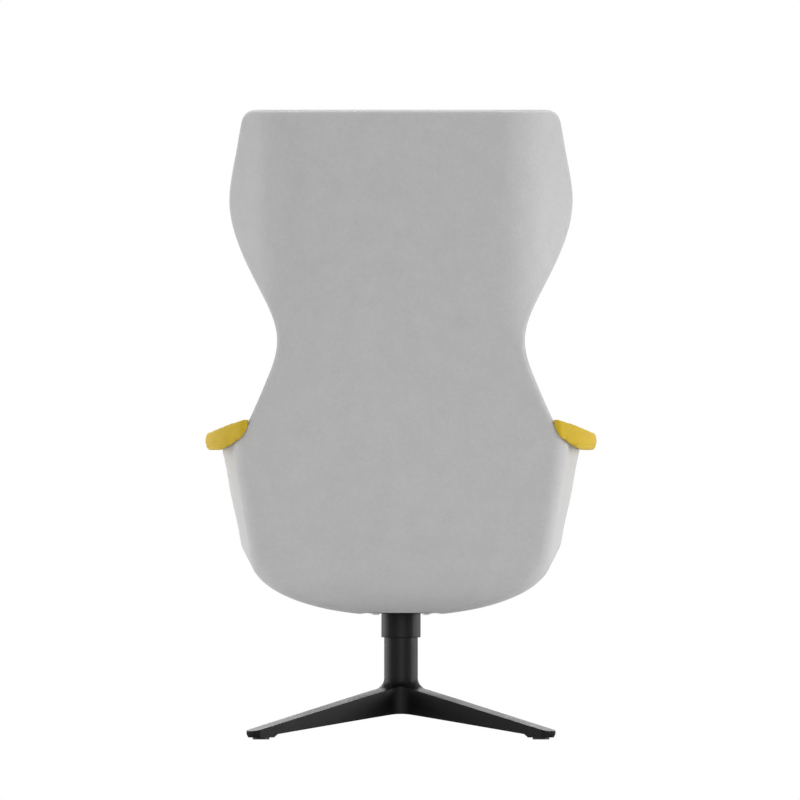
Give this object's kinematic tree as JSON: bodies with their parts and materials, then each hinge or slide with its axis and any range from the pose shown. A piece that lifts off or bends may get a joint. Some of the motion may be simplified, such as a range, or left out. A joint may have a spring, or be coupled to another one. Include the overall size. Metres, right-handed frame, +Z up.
{
  "type": "lounge chair",
  "caption": "High-backed swivel lounge chair: an upholstered wing shell with a loose seat cushion and arm pads, on a column and a star base.",
  "frame": {"origin": "on the floor, on the swivel axis, under the middle of the chair's box", "axes": "+Z up along the swivel axis, the chair faces -Y, +X is the sitter's left"},
  "size_m": [0.695, 0.7375, 1.1197],
  "materials": {
    "black_casting": "black powder coat on die-cast aluminium",
    "black_steel": "black powder coat",
    "black_plastic": "matt black",
    "bright_steel": "zinc plated",
    "moulded_ply": "bare plywood",
    "grey_cloth": "light grey wool felt",
    "yellow_cloth": "mustard yellow wool felt"
  },
  "bodies": {
    "base": {"star_base": "black_casting", "glide_rear_left": "black_plastic", "glide_rear_right": "black_plastic", "glide_front_right": "black_plastic", "glide_front_left": "black_plastic", "glide_screws": "bright_steel", "column_tube": "black_steel", "upper_bush": "black_plastic", "lower_bush": "black_plastic", "thrust_race_lower": "bright_steel", "bearing_balls": "bright_steel", "ball_cage": "black_plastic"},
    "seat": {"collar": "black_steel", "seat_plate": "black_steel", "thrust_race_upper": "bright_steel", "spindle": "bright_steel", "retaining_washer": "bright_steel", "circlip": "bright_steel", "plate_bolts": "bright_steel", "plate_washers": "bright_steel", "t_nuts": "bright_steel", "arm_screws_left": "bright_steel", "arm_screws_right": "bright_steel", "shell_core": "moulded_ply", "arm_board_left": "moulded_ply", "arm_board_right": "moulded_ply", "outer_cover": "grey_cloth", "inner_upholstery": "grey_cloth", "seat_cushion": "grey_cloth", "arm_pad_left": "yellow_cloth", "arm_pad_right": "yellow_cloth"}
  },
  "joints": [
    {"name": "swivel", "type": "hinge", "parent": "base", "child": "seat", "pos_m": [0, 0, 0.205], "axis": [0, 0, 1], "continuous": true}
  ]
}
